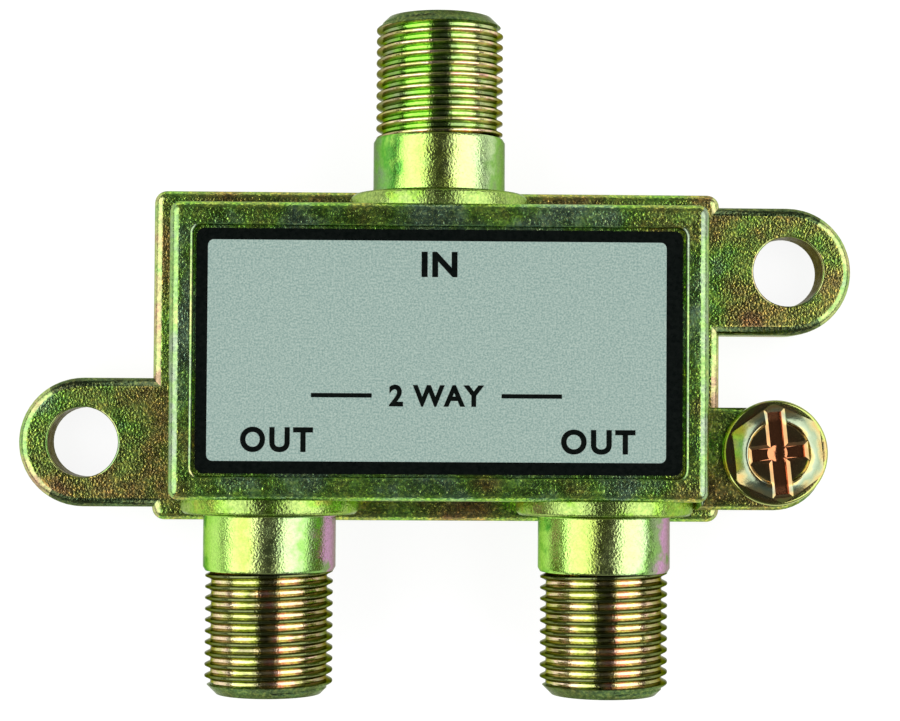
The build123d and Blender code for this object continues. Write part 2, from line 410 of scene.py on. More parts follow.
class Graph:
    """A material's node tree, filled by short calls."""

    def __init__(self, name: str, bare: bool = False) -> None:
        """Make a material, with a principled shader unless it is bare.

        Args:
            name: The material's name.
            bare: Whether it starts without any node.
        """
        self.material = bpy.data.materials.new(name)
        self.material.use_nodes = True
        self.tree = self.material.node_tree
        if bare:
            self.tree.nodes.clear()
        else:
            self.shader = self.tree.nodes["Principled BSDF"]
            self.place = self.node("ShaderNodeTexCoord").outputs["Object"]

    def feed(self, node: Node, inputs: Mapping[int | str, object]) -> None:
        """Give inputs of a node fixed values or link them to other nodes' outputs.

        Args:
            node: The node whose inputs are fed.
            inputs: A number, a colour or an output socket for each input's name or number.
        """
        for key, value in inputs.items():
            socket = node.inputs[key]
            if isinstance(value, Socket):
                self.tree.links.new(value, socket)
            elif socket.type == "RGBA":
                socket.default_value = (*value, 1.0)
            else:
                socket.default_value = value

    def node(self, kind: str, inputs: Mapping[int | str, object] | None = None,
             **settings: object) -> Node:
        """Add a node.

        Args:
            kind: The node's type.
            inputs: What its inputs are fed.
            settings: Its own settings by name.

        Returns:
            The new node.
        """
        made = self.tree.nodes.new(kind)
        for key, value in settings.items():
            setattr(made, key, value)
        self.feed(made, inputs or {})
        return made

    def noise(self, grain: float, detail: float = 2.0, rough: float = 0.5,
              stretch: Colour = (1.0, 1.0, 1.0), shift: float = 0.0) -> Socket:
        """Add a noise in object space.

        Args:
            grain: The size of its patches, in metres.
            detail: How many finer layers it has.
            rough: How strong the finer layers are.
            stretch: How many times longer the patches are along each axis.
            shift: How far the pattern is moved, to make it differ from another.

        Returns:
            The noise's factor, about 0.5 on average.
        """
        scale = [1.0 / part for part in stretch]
        mapping = self.node("ShaderNodeMapping", {"Vector": self.place, "Scale": scale,
                                                  "Location": (shift, shift, shift)})
        made = self.node("ShaderNodeTexNoise", {"Vector": mapping.outputs["Vector"], "Scale": 1.0 / grain,
                                                "Detail": detail, "Roughness": rough})
        return made.outputs["Fac"]

    def ramp(self, factor: Socket, stops: Sequence[Stop]) -> Socket:
        """Turn a factor into colours.

        Args:
            factor: The factor, from 0 to 1.
            stops: Pairs of a factor and its colour, in order.

        Returns:
            The colour.
        """
        made = self.node("ShaderNodeValToRGB", {"Fac": factor})
        elements = made.color_ramp.elements
        while len(elements) < len(stops):
            elements.new(0.5)
        for element, (position, colour) in zip(elements, stops):
            element.position = position
            element.color = (*colour, 1.0)
        return made.outputs["Color"]

    def blend(self, factor: object, first: object, second: object, mode: Mix = Mix.BLEND) -> Socket:
        """Mix two colours.

        Args:
            factor: How much of the second colour shows.
            first: The first colour or its socket.
            second: The second colour or its socket.
            mode: How they are mixed.

        Returns:
            The mixed colour.
        """
        made = self.node("ShaderNodeMix", {0: factor}, data_type="RGBA", blend_type=mode.value)
        colours = [place for place, socket in enumerate(made.inputs) if socket.type == "RGBA"]
        self.feed(made, dict(zip(colours, (first, second))))
        return next(socket for socket in made.outputs if socket.type == "RGBA")

    def span(self, value: object, low: float, high: float, out_low: float, out_high: float) -> Socket:
        """Map one range of values to another, without leaving the second."""
        numbers = enumerate((value, low, high, out_low, out_high))
        return self.node("ShaderNodeMapRange", dict(numbers)).outputs["Result"]

    def work_out(self, first: object, second: object, operation: Maths = Maths.ADD) -> Socket:
        """Combine two numbers, each of them fixed or a socket."""
        return self.node("ShaderNodeMath", {0: first, 1: second}, operation=operation.value).outputs[0]

    def bump(self, height: Socket, depth: float) -> None:
        """Roughen the surface by a height from 0 to 1, as deep as depth says, in metres."""
        made = self.node("ShaderNodeBump", {"Strength": 1.0, "Distance": depth, "Height": height})
        self.feed(self.shader, {"Normal": made.outputs["Normal"]})

    def end(self, shader: Socket) -> Material:
        """Let a shader be the surface of a bare material, and give the material."""
        self.node("ShaderNodeOutputMaterial", {0: shader})
        return self.material


@dataclass(frozen=True, kw_only=True)
class Plating:
    """Yellow chromate over metal: its hues, and on them flecks, wear and a fine relief."""

    name: str
    fleck_hues: tuple[Stop, ...]
    speckle: float
    patch: float
    worn_patch: float
    grain: float
    relief: float
    roughness: tuple[float, float]
    edge_tint: Colour

    def hue(self, graph: Graph, place: Sequence[Socket]) -> Socket:
        """Give the plating's hue, which each kind of plating works out in its own way."""
        raise NotImplementedError

    def build(self) -> Material:
        """Make the material.

        Returns:
            The material.
        """
        graph = Graph(self.name)
        place = graph.node("ShaderNodeSeparateXYZ", {0: graph.place}).outputs
        speckle = graph.noise(self.speckle, rough=0.7, shift=FLECK_SHIFT)
        worn = graph.noise(self.worn_patch, detail=3.0, rough=0.6, shift=WORN_SHIFT)
        flecks = graph.ramp(speckle, self.fleck_hues)
        graph.feed(graph.shader, {
            "Base Color": graph.blend(1.0, self.hue(graph, place), flecks, Mix.MULTIPLY),
            "Metallic": 1.0,
            "Specular Tint": self.edge_tint,
            "Roughness": graph.span(worn, *WORN_RANGE, *self.roughness),
        })
        graph.bump(graph.noise(self.grain, detail=1.0, shift=RELIEF_SHIFT), self.relief)
        return graph.material


@dataclass(frozen=True, kw_only=True)
class CastPlating(Plating):
    """Plating on a rough die casting: olive, with gold, green, teal and rose patches."""

    name: str = "cast_plating"
    body_hues: tuple[Stop, ...] = (
        (0.30, (0.36, 0.22, 0.11)),
        (0.40, (0.40, 0.35, 0.12)),
        (0.48, (0.35, 0.46, 0.12)),
        (0.57, (0.26, 0.52, 0.10)),
        (0.68, (0.28, 0.44, 0.28)),
    )
    fleck_hues: tuple[Stop, ...] = (
        (0.34, (0.50, 0.58, 0.54)),
        (0.50, (0.90, 0.95, 0.90)),
        (0.58, (1.4, 1.35, 0.9)),
        (0.68, (2.2, 1.8, 1.4)),
    )
    speckle: float = 0.25 * MM
    patch: float = 6.0 * MM
    worn_patch: float = 1.2 * MM
    grain: float = 0.17 * MM
    relief: float = 0.036 * MM
    roughness: tuple[float, float] = (0.18, 0.3)
    edge_tint: Colour = (0.60, 0.66, 0.46)
    hue_shift: float = 0.05
    low_place: tuple[float, float] = (3.0 * MM, -0.05)
    high_place: tuple[float, float] = (13.0 * MM, 0.08)

    def hue(self, graph: Graph, place: Sequence[Socket]) -> Socket:
        """Give the patches' hue, which leans to one end low down and to the other high up.

        Args:
            graph: The material's nodes.
            place: The parts of a point's place.

        Returns:
            The hue.
        """
        (low, low_lean), (high, high_lean) = self.low_place, self.high_place
        lean = graph.span(place["Z"], low, high, low_lean, high_lean)
        cloud = graph.noise(self.patch, detail=4.0, rough=0.62, shift=self.hue_shift)
        return graph.ramp(graph.work_out(cloud, lean), self.body_hues)


# Lighter hues and brighter flecks for the roundings that look towards the lamps: a painted highlight, over a
# smoother relief
PAINTED_HIGHLIGHT_EDGE_PLATING = CastPlating(
    name="painted_highlight_edge_plating",
    body_hues=(
        (0.34, (0.46, 0.32, 0.20)),
        (0.44, (0.50, 0.56, 0.22)),
        (0.54, (0.28, 0.48, 0.15)),
        (0.66, (0.30, 0.38, 0.26)),
    ),
    fleck_hues=(
        (0.36, (0.74, 0.78, 0.72)),
        (0.50, (1.0, 1.0, 1.0)),
        (0.66, (1.3, 1.25, 1.15)),
    ),
    patch=3.5 * MM,
    relief=0.011 * MM,
)
BOSS_PLATING = CastPlating(
    name="boss_plating",
    body_hues=(
        (0.30, (0.34, 0.24, 0.08)),
        (0.40, (0.40, 0.42, 0.08)),
        (0.50, (0.26, 0.48, 0.06)),
        (0.60, (0.34, 0.48, 0.13)),
    ),
    fleck_hues=PAINTED_HIGHLIGHT_EDGE_PLATING.fleck_hues,
    patch=2.5 * MM,
    relief=0.034 * MM,
)
# Very dark hues for the barrels' tips and for the ear roundings that look along Y, away from the lamps:
# painted shade
PAINTED_SHADE_EDGE_PLATING = CastPlating(
    name="painted_shade_edge_plating",
    body_hues=((0.36, (0.09, 0.11, 0.055)), (0.64, (0.11, 0.18, 0.08))),
    patch=1.5 * MM,
    relief=0.034 * MM,
)


@dataclass(frozen=True, kw_only=True)
class TurnedPlatingWithPaintedLight(Plating):
    """Plating on a port, its hues running from green to rose across the barrel, with painted light in them:
    bright bands where the side lamps' highlights fall, and painted shade in the middle and on the flanks.
    """

    # Hues across the barrel, with painted highlight bands and painted shade in them
    hues: tuple[Stop, ...]
    spacing: float
    radius: float = 4.7 * MM
    hue_span: float = 0.88
    output_lean: float = 0.12
    fleck_hues: tuple[Stop, ...] = ((0.36, (0.84, 0.87, 0.80)), (0.60, (1.04, 1.02, 1.0)))
    speckle: float = 0.2 * MM
    patch: float = 2.2 * MM
    worn_patch: float = 0.7 * MM
    grain: float = 0.15 * MM
    relief: float = 0.025 * MM
    roughness: tuple[float, float] = (0.15, 0.26)
    edge_tint: Colour = (0.42, 0.5, 0.32)
    stretch: Colour = (1.0, 1.0, 1.0)
    drift: float = 0.08

    def hue(self, graph: Graph, place: Sequence[Socket]) -> Socket:
        """Give the hue by how far a point lies across its port, with a lean on the outputs. The hues hold the
        painted highlight bands and painted shade, which the lean moves on the outputs.

        Args:
            graph: The material's nodes.
            place: The parts of a point's place.

        Returns:
            The hue.
        """
        half = self.spacing / 2
        repeated = {0: place["X"], 1: -half, 2: half}
        across = graph.node("ShaderNodeMath", repeated, operation="WRAP").outputs[0]
        share = graph.span(across, -self.radius, self.radius, 0.0, self.hue_span)
        lean = graph.span(place["Y"], -MM, MM, self.output_lean, 0.0)
        noise = graph.noise(self.patch, detail=3.0, rough=0.6, stretch=self.stretch)
        drift = graph.span(noise, *DRIFT_RANGE, -self.drift, self.drift)
        mixed = graph.work_out(graph.work_out(share, lean), drift)
        return self.colour(graph, place, across, mixed)

    def colour(self, graph: Graph, place: Sequence[Socket], across: Socket, share: Socket) -> Socket:
        """Give the colour at a share of the way along the hues."""
        return graph.ramp(share, self.hues)


# Collar hues across the barrel: plating hues with painted highlight bands either side of the middle, and
# painted shade in the middle and on the flanks
COLLAR_HUES_AND_PAINTED_LIGHT: tuple[Stop, ...] = (
    (0.00, (0.24, 0.36, 0.20)),
    (0.07, (0.20, 0.48, 0.10)),
    (0.115, (0.12, 0.44, 0.06)),
    (0.17, (0.42, 0.80, 0.14)),
    (0.28, (0.52, 0.82, 0.20)),
    (0.43, (0.44, 0.56, 0.12)),
    (0.53, (0.62, 0.76, 0.28)),
    (0.65, (0.54, 0.74, 0.30)),
    (0.76, (0.50, 0.68, 0.34)),
    (0.83, (0.26, 0.50, 0.12)),
    (0.91, (0.30, 0.40, 0.20)),
    (0.96, (0.62, 0.34, 0.56)),
)
# Root hues across the barrel: plating hues with painted highlight bands either side of the middle, and
# painted shade in the middle and on the flanks
ROOT_HUES_AND_PAINTED_LIGHT: tuple[Stop, ...] = (
    (0.00, (0.32, 0.38, 0.22)),
    (0.12, (0.26, 0.42, 0.12)),
    (0.24, (0.28, 0.66, 0.07)),
    (0.34, (0.40, 0.72, 0.12)),
    (0.44, (0.24, 0.36, 0.12)),
    (0.54, (0.28, 0.40, 0.16)),
    (0.60, (0.50, 0.74, 0.24)),
    (0.70, (0.56, 0.62, 0.32)),
    (0.79, (0.34, 0.40, 0.16)),
    (0.90, (0.24, 0.32, 0.15)),
    (1.00, (0.26, 0.34, 0.20)),
)
# Crest hues across the barrel: plating hues with painted highlight bands either side of the middle, and
# painted shade in the middle and on the flanks
CREST_HUES_AND_PAINTED_LIGHT: tuple[Stop, ...] = (
    (0.00, (0.38, 0.38, 0.24)),
    (0.10, (0.44, 0.36, 0.20)),
    (0.19, (0.62, 0.64, 0.22)),
    (0.27, (0.98, 0.76, 0.56)),
    (0.35, (0.92, 0.88, 0.46)),
    (0.43, (0.60, 0.66, 0.22)),
    (0.50, (0.34, 0.32, 0.18)),
    (0.57, (0.92, 0.80, 0.42)),
    (0.64, (0.96, 0.56, 0.48)),
    (0.71, (0.94, 0.90, 0.44)),
    (0.77, (0.84, 0.58, 0.44)),
    (0.83, (0.40, 0.40, 0.16)),
    (0.93, (0.42, 0.32, 0.20)),
    (1.00, (0.36, 0.40, 0.22)),
)


@dataclass(frozen=True, kw_only=True)
class ThreadPlatingWithPaintedLight(TurnedPlatingWithPaintedLight):
    """Plating on a port's thread, greener in the roots and rosier on the crests, with painted highlight bands
    and painted shade across the barrel, and a dark painted shade on the outputs' crests.
    """

    name: str = "thread_plating_and_painted_light"
    hues: tuple[Stop, ...] = ROOT_HUES_AND_PAINTED_LIGHT
    crest_hues_and_painted_light: tuple[Stop, ...] = CREST_HUES_AND_PAINTED_LIGHT
    # A dark painted shade for the crests of the outputs
    output_crest_shade: Colour = (0.17, 0.20, 0.08)
    axis_height: float
    depth: tuple[float, float] = (4.25 * MM, 4.5 * MM)
    patch: float = 0.9 * MM
    stretch: Colour = (3.0, 1.0, 3.0)
    drift: float = 0.13
    relief: float = 0.012 * MM
    roughness: tuple[float, float] = (0.12, 0.2)
    edge_tint: Colour = (0.28, 0.30, 0.15)

    def colour(self, graph: Graph, place: Sequence[Socket], across: Socket, share: Socket) -> Socket:
        """Blend the hues of the roots into those of the crests by the distance from the axis.

        On the outputs the roots take the crests' hues with their painted highlights, and the crests a dark
        painted shade.

        Args:
            graph: The material's nodes.
            place: The parts of a point's place.
            across: How far the point lies across its port's axis.
            share: Where it lies along the hues.

        Returns:
            The colour.
        """
        up = graph.work_out(place["Z"], self.axis_height, Maths.SUBTRACT)
        squares = (graph.work_out(part, part, Maths.MULTIPLY) for part in (across, up))
        radius = graph.work_out(graph.work_out(*squares), 0.5, Maths.POWER)
        on_crest = graph.span(radius, *self.depth, 0.0, 1.0)
        on_output = graph.span(place["Y"], -MM, MM, 1.0, 0.0)
        rosy_highlit = graph.ramp(share, self.crest_hues_and_painted_light)
        root = graph.blend(on_output, graph.ramp(share, self.hues), rosy_highlit)
        crest = graph.blend(on_output, rosy_highlit, self.output_crest_shade)
        return graph.blend(on_crest, root, crest)


@dataclass(frozen=True)
class ScrewPlating:
    """Plating on the steel screw: pale on the worn rim, olive outside, red in the recess."""

    axis_place: Point
    seat: float
    recess_top: float
    name: str = "screw_plating"
    reach: float = 3.8 * MM
    hues: tuple[Stop, ...] = (
        (0.00, (0.85, 0.42, 0.32)),
        (0.20, (0.66, 0.34, 0.14)),
        (0.36, (0.40, 0.26, 0.12)),
        (0.56, (0.42, 0.32, 0.14)),
        (0.61, (0.70, 0.56, 0.22)),
        (0.66, (0.38, 0.44, 0.30)),
        (0.74, (0.28, 0.35, 0.22)),
        (0.82, (0.46, 0.42, 0.20)),
        (0.88, (0.50, 0.36, 0.14)),
        (0.96, (0.44, 0.50, 0.14)),
    )
    gloss: tuple[Stop, ...] = (
        (0.59, (0.12, 0.12, 0.12)),
        (0.66, (0.2, 0.2, 0.2)),
        (0.80, (0.2, 0.2, 0.2)),
        (0.86, (0.14, 0.14, 0.14)),
    )
    recess_hue: Colour = (0.64, 0.25, 0.11)
    recess_depth: float = 0.3 * MM
    recess_reach: tuple[float, float] = (0.8, 0.84)
    shank_hue: Colour = (0.56, 0.48, 0.20)
    patch: float = 1.2 * MM
    drift: float = 0.08
    grain: float = 0.3 * MM
    relief: float = 0.008 * MM

    def build(self) -> Material:
        """Make the material.

        Returns:
            The material.
        """
        graph = Graph(self.name)
        x, y = self.axis_place
        centred = graph.node("ShaderNodeMapping", {
            "Vector": graph.place, "Location": (-x, -y, 0.0), "Scale": (1.0, 1.0, 0.0),
        }).outputs["Vector"]
        radius = graph.node("ShaderNodeVectorMath", {0: centred}, operation="LENGTH").outputs["Value"]
        share = graph.span(radius, 0.0, self.reach, 0.0, 1.0)
        drift = graph.span(graph.noise(self.patch), *DRIFT_RANGE, -self.drift, self.drift)
        hue = graph.ramp(graph.work_out(share, drift), self.hues)
        height = graph.node("ShaderNodeSeparateXYZ", {0: graph.place}).outputs["Z"]
        deep = graph.span(height, self.recess_top - self.recess_depth, self.recess_top, 1.0, 0.0)
        inside = graph.span(share, *self.recess_reach, 1.0, 0.0)
        head = graph.blend(graph.work_out(deep, inside, Maths.MULTIPLY), hue, self.recess_hue)
        below = graph.span(height, self.seat - 2 * TOUCH, self.seat - TOUCH, 1.0, 0.0)
        graph.feed(graph.shader, {
            "Base Color": graph.blend(below, head, self.shank_hue),
            "Metallic": 1.0,
            "Roughness": graph.ramp(share, self.gloss),
        })
        graph.bump(graph.noise(self.grain, shift=RELIEF_SHIFT), self.relief)
        return graph.material


@dataclass(frozen=True)
class Matter:
    """A plain substance whose colour, gloss and surface vary a little in object space."""

    name: str
    dark: Colour
    light: Colour
    patch: float
    metallic: float
    roughness: tuple[float, float]
    grain: float = 0.1 * MM
    relief: float = 0.004 * MM
    stretch: Colour = (1.0, 1.0, 1.0)
    specular: float = 0.5
    edge_tint: Colour = (1.0, 1.0, 1.0)

    def build(self) -> Material:
        """Make the material.

        Returns:
            The material.
        """
        graph = Graph(self.name)
        dark_end, light_end = WORN_RANGE
        mottle = graph.noise(self.patch, detail=3.0, rough=0.6, stretch=self.stretch)
        worn = graph.noise(self.patch, stretch=self.stretch, shift=WORN_SHIFT)
        graph.feed(graph.shader, {
            "Base Color": graph.ramp(mottle, ((dark_end, self.dark), (light_end, self.light))),
            "Metallic": self.metallic,
            "Roughness": graph.span(worn, *WORN_RANGE, *self.roughness),
            "Specular IOR Level": self.specular,
            "Specular Tint": self.edge_tint,
        })
        height = graph.noise(self.grain, rough=0.6, stretch=self.stretch, shift=RELIEF_SHIFT)
        graph.bump(height, self.relief)
        return graph.material


# Each substance: darkest and lightest colour, patch, metallic share, roughness, grain and relief
FIELD_GREY = Matter("label_field", (0.20, 0.31, 0.28), (0.40, 0.51, 0.45), 0.13 * MM,
                    0.0, (0.38, 0.5), 0.12 * MM, 0.002 * MM)
PRINT_BLACK = Matter("label_print", (0.001, 0.0025, 0.002), (0.003, 0.005, 0.004), 0.3 * MM,
                     0.0, (0.25, 0.35), 0.15 * MM, 0.001 * MM, specular=0.12)
# The ear holes' walls are darkened: painted shade
PAINTED_SHADE_HOLE_PLATING = Matter("painted_shade_hole_plating", (0.09, 0.09, 0.05), (0.20, 0.19, 0.11), 0.6 * MM,
                      1.0, (0.2, 0.35), 0.15 * MM, 0.012 * MM, edge_tint=(0.30, 0.28, 0.18))
TINNED_SHEET = Matter("tinned_sheet", (0.50, 0.50, 0.48), (0.68, 0.67, 0.64), 3.0 * MM,
                      1.0, (0.22, 0.4), 0.4 * MM, 0.006 * MM, stretch=(6.0, 1.0, 1.0))
LAMINATE = Matter("board_laminate", (0.33, 0.22, 0.08), (0.42, 0.30, 0.13), 0.6 * MM,
                  0.0, (0.4, 0.6), 0.2 * MM)
SOLDER = Matter("solder", (0.52, 0.53, 0.54), (0.72, 0.72, 0.72), 0.4 * MM,
                1.0, (0.18, 0.35), 0.25 * MM, 0.01 * MM)
FERRITE = Matter("ferrite", (0.03, 0.03, 0.032), (0.06, 0.058, 0.056), 0.3 * MM,
                 0.0, (0.5, 0.7), 0.1 * MM, 0.01 * MM)
ENAMEL = Matter("enamelled_wire", (0.42, 0.14, 0.05), (0.58, 0.24, 0.09), 0.5 * MM, 1.0, (0.2, 0.3))
CHIP = Matter("resistor_body", (0.03, 0.03, 0.035), (0.07, 0.07, 0.075), 0.4 * MM, 0.0, (0.35, 0.5))
COATING = Matter("capacitor_coat", (0.52, 0.22, 0.05), (0.64, 0.30, 0.08), 0.7 * MM,
                 0.0, (0.25, 0.4), 0.3 * MM, 0.01 * MM)
PLASTIC = Matter("white_plastic", (0.72, 0.71, 0.66), (0.82, 0.81, 0.77), 0.9 * MM, 0.0, (0.35, 0.5))
BRONZE = Matter("contact_bronze", (0.58, 0.40, 0.20), (0.76, 0.56, 0.30), 0.7 * MM, 1.0, (0.2, 0.35))

# Finish of the solids that are shown as packed, by how their names end
SOLID_FINISHES = {
    "back_cover": TINNED_SHEET,
    "circuit_board": LAMINATE,
    "solder": SOLDER,
    "core": FERRITE,
    "winding": ENAMEL,
    "resistor": CHIP,
    "capacitor": COATING,
    "insulator": PLASTIC,
    "contact": BRONZE,
}


@dataclass
class Thread:
    """A right-hand screw thread about the Y axis, modelled as one turn and wound up.

    Each curve's points are a share of the pitch and a share of the thread's depth.
    """

    crest: float
    root: float
    start: float
    end: float
    pitch: float = INCH / 32
    root_curve: tuple[Point, ...] = ((0.0, 0.0), (0.08, 0.014), (0.158, 0.055), (0.175, 0.11))
    crest_curve: tuple[Point, ...] = ((0.05, 0.012), (0.1, 0.06), (0.125, 0.14))
    lead_turns: int = 2
    steps: int = 72

    def profile(self) -> list[Vector]:
        """Give one pitch of the thread's outline, from root to root.

        Returns:
            The points, in the plane X = 0, with the radius along Z.
        """
        depth = self.crest - self.root
        rising = [(share, self.root + rise * depth) for share, rise in self.root_curve]
        rising += [(0.5 - share, self.crest - fall * depth) for share, fall in reversed(self.crest_curve)]
        shares = rising + [(1.0 - share, radius) for share, radius in reversed(rising)]
        base = self.start - self.lead_turns * self.pitch
        return [Vector((0.0, base + share * self.pitch, radius)) for share, radius in shares]

    def build(self) -> Object:
        """Wind the profile up and cut it square at both ends.

        Returns:
            A closed threaded rod about the Y axis.
        """
        rod = edge_chain(self.profile())
        turns = math.ceil((self.end - self.start) / self.pitch) + self.lead_turns + 1
        with_modifier(
            rod, "SCREW", axis="Y", angle=2 * math.pi, screw_offset=self.pitch,
            iterations=turns, steps=self.steps, render_steps=self.steps,
        )
        with editing(rod):
            bpy.ops.mesh.remove_doubles(threshold=MERGE)
        ahead = Vector(Axis.Y.value)
        cut_off(rod, ahead * self.start, ahead, Keep.AHEAD)
        cut_off(rod, ahead * self.end, ahead, Keep.BEHIND)
        with editing(rod):
            bpy.ops.mesh.normals_make_consistent(inside=False)
        return rod


@dataclass
class Port:
    """A threaded barrel with its chamfered tip and flared mouth."""

    axis_height: float = 7.0 * MM
    start: float = 15.58 * MM
    tip: float = 24.4 * MM
    crest: float = 4.6 * MM
    root: float = 4.17 * MM
    bore: float = 3.2 * MM
    bore_clearance: float = 0.04 * MM
    mouth: float = 0.35 * MM
    tip_chamfer: float = 0.85 * MM
    tip_ease: float = 1.004
    overlap: float = 0.2 * MM
    sides: int = 96

    def rod(self, radius: float, end: float, name: str) -> Object:
        """Make a smooth rod along the barrel, with its end face selected.

        Args:
            radius: The rod's radius.
            end: How far along Y it reaches.
            name: Its name.

        Returns:
            The rod.
        """
        length = self.tip - self.start + 2 * self.overlap
        rod = primitive(
            bpy.ops.mesh.primitive_cylinder_add, name, vertices=self.sides, radius=radius,
            depth=length, location=(0.0, end - length / 2, 0.0), rotation=(math.pi / 2, 0.0, 0.0),
        )
        select_faces(rod, lambda centre, normal: normal.y > FACING)
        return rod

    def envelope(self) -> Object:
        """Make the smooth rod that chamfers the tip of the thread.

        Returns:
            The rod.
        """
        rod = self.rod(self.crest * self.tip_ease, self.tip, "envelope")
        with editing(rod, Pick.AS_IS):
            bpy.ops.mesh.bevel(offset=self.tip_chamfer, segments=1, affect="EDGES")
        return rod

    def bore_tool(self) -> Object:
        """Make the tool that opens the barrel and flares its mouth.

        Returns:
            The tool.
        """
        radius = self.bore + self.bore_clearance
        tool = self.rod(radius, self.tip - self.mouth, "bore")
        flare = (radius + 2 * self.mouth) / radius
        with editing(tool, Pick.AS_IS):
            bpy.ops.mesh.extrude_region_move(TRANSFORM_OT_translate={"value": (0.0, 2 * self.mouth, 0.0)})
            bpy.ops.transform.resize(value=(flare, 1.0, flare))
        return tool

    def build(self) -> Object:
        """Model the barrel about the Y axis.

        Returns:
            A closed threaded sleeve that starts inside the collar.
        """
        barrel = Thread(self.crest, self.root, self.start - self.overlap, self.tip).build()
        combine(barrel, self.envelope(), Cut.KEEP_COMMON)
        combine(barrel, self.bore_tool(), Cut.TAKE_AWAY)
        barrel.name = "barrel"
        mend(barrel)
        return barrel


@dataclass
class Casting:
    """The plated casting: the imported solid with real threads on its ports."""

    name: str = "plated_casting"
    port: Port = field(default_factory=Port)
    collar_from: float = 11.55 * MM
    collar_radius: float = 4.85 * MM
    flange_reach: float = 12.2 * MM
    flange_end: float = 20.8 * MM
    boss_from: float = 10.1 * MM
    boss_end: float = 11.51 * MM
    boss_radius: float = 6.5 * MM
    rounding: Point = (0.08, 0.992)
    rounding_reach: float = 2.2 * MM
    # How far a rounding's normal leans to X rather than Y, to get the painted highlight rather than the
    # painted shade
    lamp_side_ratio: float = 0.6
    frame_reach: float = 1.0 * MM
    rim_edge: float = 0.24 * MM
    hole_edge: float = 0.15 * MM
    edge_steps: int = 3
    ear_height: float = 3.2 * MM
    ear_place: Point = (26.15 * MM, 6.5 * MM)
    ear_hole: float = 2.6 * MM
    hole_margin: float = 0.05 * MM
    sharp_degrees: float = 50.0

    @cached_property
    def ports(self) -> list[tuple[float, float]]:
        """Find the ports by their insulators.

        Returns:
            For each port, its place along X and its turn from the input port's direction.
        """
        turns = {"in": 0.0, "out_left": math.pi, "out_right": math.pi}
        boxes = {name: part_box(name + "_front_insulator") for name in turns}
        return [((low.x + high.x) / 2, turns[name]) for name, (low, high) in boxes.items()]

    def build(self) -> Object:
        """Model the casting.

        Returns:
            The finished piece on its body.
        """
        casting = solid_copy("housing", self.name)
        far = SOLID_BOX[1] * 2.0
        for side in (1.0, -1.0):
            near, end = sorted((side * self.port.start, side * far.y))
            tool = block((-far.x, near, -far.z), (far.x, end, far.z), "barrel_end")
            combine(casting, tool, Cut.TAKE_AWAY)
        self.break_edges(casting)
        barrel = self.port.build()
        height = self.port.axis_height
        barrels = [
            copied(barrel, Matrix.Translation((x, 0.0, height)) @ Matrix.Rotation(turn, 4, "Z"))
            for x, turn in self.ports
        ]
        bpy.data.objects.remove(barrel)
        combine(casting, joined(barrels, "barrels"), Cut.ADD)
        mend(casting)
        self.dress(casting)
        smooth(casting, self.sharp_degrees)
        return finished(casting, CASING, "housing")

    def off_ear_hole(self, point: Vector) -> float:
        """Measure how far a point lies outside the nearer ear hole, seen from the front."""
        x, y = self.ear_place
        return min(math.hypot(point.x - side * x, point.y - side * y) for side in (-1.0, 1.0)) - self.ear_hole

    def break_edges(self, casting: Object) -> None:
        """Round the inner edge of the front frame and the front edges of the ear holes.

        Args:
            casting: The casting before its ports are threaded.
        """
        top = SOLID_BOX[1].z
        low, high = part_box("front_label")
        reach = self.frame_reach

        def in_frame(*ends: Vector) -> bool:
            """Say whether an edge lies on the frame's face, close to the label.

            Args:
                ends: The edge's two ends.

            Returns:
                Whether it does.
            """
            return all(
                abs(end.z - top) < TOUCH
                and low.x - reach < end.x < high.x + reach
                and low.y - reach < end.y < high.y + reach
                for end in ends
            )

        def on_ear_hole(*ends: Vector) -> bool:
            """Say whether an edge runs round the front of an ear hole.

            Args:
                ends: The edge's two ends.

            Returns:
                Whether it does.
            """
            return all(
                abs(end.z - self.ear_height) < TOUCH and abs(self.off_ear_hole(end)) < 2 * TOUCH
                for end in ends
            )

        bevel_edges(casting, in_frame, self.rim_edge, self.edge_steps)
        bevel_edges(casting, on_ear_hole, self.hole_edge, self.edge_steps)

    def dress(self, casting: Object) -> None:
        """Give the body its cast finish and the bosses their own, and paint light on the rest: highlight
        bands and shade across the ports, shade in the ear holes, on the tips and on the ear roundings that
        look along Y, and a highlight on the roundings that look sideways.

        Args:
            casting: The casting to dress.
        """
        places = sorted(x for x, turn in self.ports)
        spacing = places[1] - places[0]
        platings_and_painted_light = (
            (TurnedPlatingWithPaintedLight(name="collar_plating_and_painted_light", hues=COLLAR_HUES_AND_PAINTED_LIGHT, spacing=spacing), self.on_port),
            (ThreadPlatingWithPaintedLight(spacing=spacing, axis_height=self.port.axis_height), self.on_thread),
            (BOSS_PLATING, self.on_boss),
            (PAINTED_SHADE_HOLE_PLATING, self.in_ear_hole),
            (PAINTED_HIGHLIGHT_EDGE_PLATING, self.on_painted_highlight_edge),
            (PAINTED_SHADE_EDGE_PLATING, self.on_painted_shade_edge),
        )
        casting.data.materials.append(CastPlating().build())
        for index, (plating, rule) in enumerate(platings_and_painted_light, start=1):
            casting.data.materials.append(plating.build())
            select_faces(casting, rule)
            with editing(casting, Pick.AS_IS):
                casting.active_material_index = index
                bpy.ops.object.material_slot_assign()

    def on_port(self, centre: Vector, normal: Vector) -> bool:
        """Say whether a face is on a port, and not on the flange behind it.

        Args:
            centre: The face's centre.
            normal: Its normal, which is not used.

        Returns:
            Whether it is.
        """
        height = centre.z - self.port.axis_height
        off_axis = min(math.hypot(centre.x - x, height) for x, turn in self.ports)
        beyond_flange = abs(centre.y) > self.flange_reach or centre.z > self.ear_height
        on_collar = abs(centre.y) > self.collar_from and off_axis < self.collar_radius
        on_boss = abs(centre.y) > self.boss_from and off_axis < self.boss_radius
        return beyond_flange and (on_collar or on_boss)

